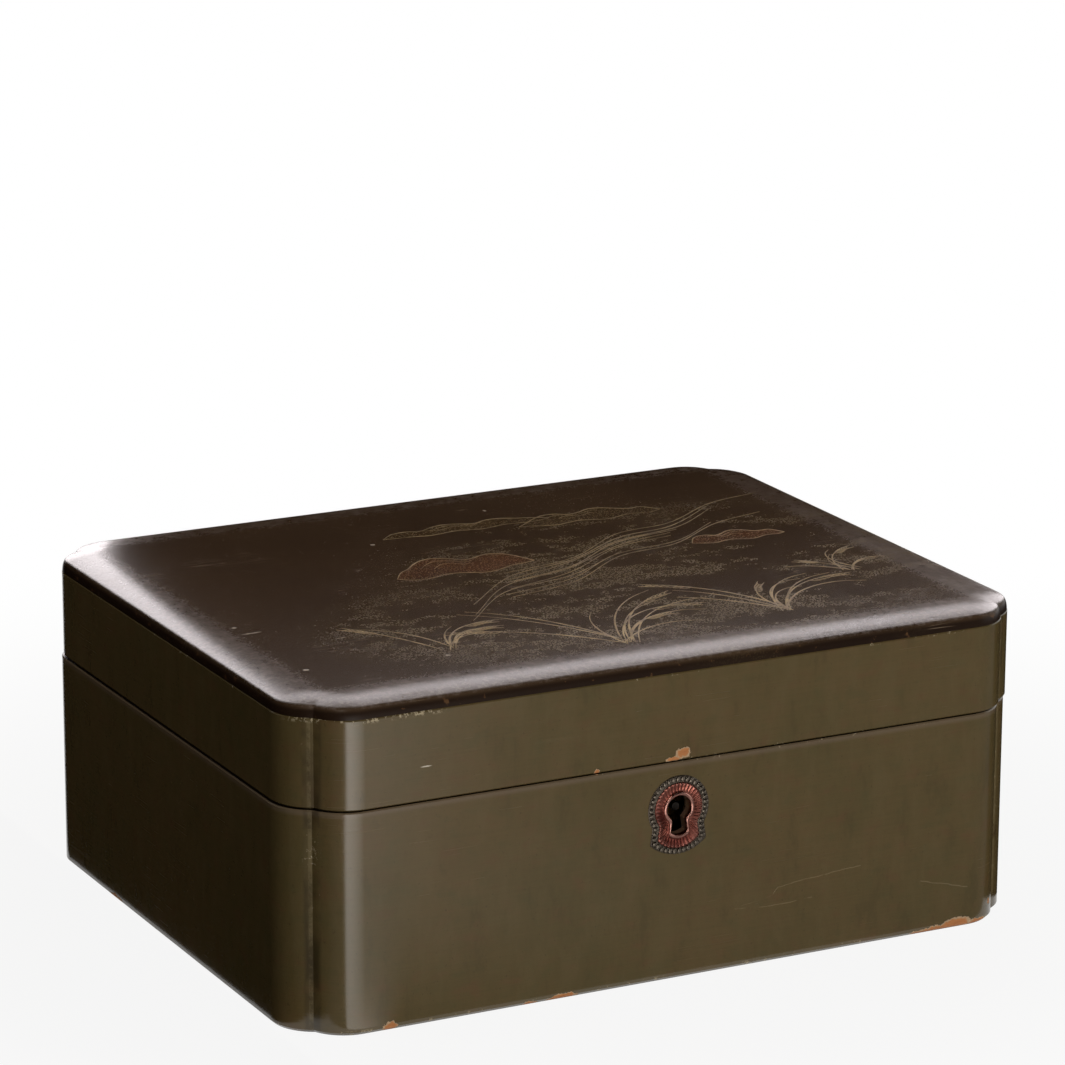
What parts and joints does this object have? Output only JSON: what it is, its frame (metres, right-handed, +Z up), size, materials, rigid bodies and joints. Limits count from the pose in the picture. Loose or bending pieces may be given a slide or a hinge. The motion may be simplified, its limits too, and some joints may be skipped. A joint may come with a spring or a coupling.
{
  "type": "suzuri ink box",
  "caption": "Low rectangular lacquered wooden box with notched round corners, a hinged domed lid, a front lock with a keyhole escutcheon, and a lift-out tray for ink stone and brushes.",
  "frame": {"origin": "on the table, under the middle of the box", "axes": "+Z up, the front face with the keyhole towards -Y, +X to the right seen from the front"},
  "size_m": [0.2506, 0.201, 0.1033],
  "materials": {
    "olive_lacquer": "satin",
    "brown_lacquer": "gloss",
    "underside_lacquer": "matte",
    "inner_lacquer": "gloss",
    "tray_lacquer": "gloss",
    "lining_silk": "matte",
    "hinge_brass": "satin",
    "lock_brass": "satin",
    "lock_steel": "satin",
    "escutcheon_rim_metal": "satin",
    "escutcheon_copper": "satin",
    "slate": "matte",
    "dropper_glaze": "gloss",
    "pressed_ink": "satin",
    "bamboo": "satin",
    "brush_hair": "matte"
  },
  "bodies": {
    "box": {"bottom_board": "underside_lacquer", "front_board": "olive_lacquer", "right_board": "olive_lacquer", "back_board": "olive_lacquer", "left_board": "olive_lacquer", "lining_front": "inner_lacquer", "lining_right": "inner_lacquer", "lining_back": "inner_lacquer", "lining_left": "inner_lacquer", "post_front_left": "inner_lacquer", "post_front_right": "inner_lacquer", "post_back_left": "inner_lacquer", "post_back_right": "inner_lacquer", "floor_cloth": "lining_silk", "lock_plate": "lock_brass", "lock_cap": "lock_steel", "lock_screws": "lock_brass", "drill_pin": "lock_steel", "bolt_spring": "lock_steel", "escutcheon_rim": "escutcheon_rim_metal", "escutcheon_ring": "escutcheon_copper", "hinge_left_box_leaf": "hinge_brass", "hinge_right_box_leaf": "hinge_brass", "hinge_left_pin": "hinge_brass", "hinge_right_pin": "hinge_brass", "box_hinge_screws": "hinge_brass"},
    "lid": {"lid_front_rail": "olive_lacquer", "lid_right_rail": "olive_lacquer", "lid_back_rail": "olive_lacquer", "lid_left_rail": "olive_lacquer", "lid_top": "brown_lacquer", "lid_lining": "lining_silk", "lid_glue_blocks": "inner_lacquer", "hinge_left_lid_leaf": "hinge_brass", "hinge_right_lid_leaf": "hinge_brass", "lid_hinge_screws": "hinge_brass", "link_plate": "lock_brass", "link_screws": "lock_brass"},
    "bolt": {"lock_bolt": "lock_steel"},
    "tray": {"tray_floor": "tray_lacquer", "tray_front_wall": "tray_lacquer", "tray_back_wall": "tray_lacquer", "tray_left_wall": "tray_lacquer", "tray_right_wall": "tray_lacquer", "tray_left_divider": "tray_lacquer", "tray_right_divider": "tray_lacquer", "ink_stone": "slate", "water_dropper": "dropper_glaze", "ink_stick": "pressed_ink", "brush_rest_front": "tray_lacquer", "brush_rest_back": "tray_lacquer", "brush_left_handle": "bamboo", "brush_right_handle": "bamboo", "brush_left_hair": "brush_hair", "brush_right_hair": "brush_hair"}
  },
  "joints": [
    {"name": "lid_hinge", "type": "hinge", "parent": "box", "child": "lid", "pos_m": [0, 0.0975, 0.0692], "axis": [-1, 0, 0], "range_deg": [0, 105]},
    {"name": "bolt_slide", "type": "slide", "parent": "box", "child": "bolt", "axis": [1, 0, 0], "range_m": [0, 0.0045]},
    {"name": "tray_lift", "type": "slide", "parent": "box", "child": "tray", "axis": [0, 0, 1], "range_m": [0, 0.028]}
  ]
}
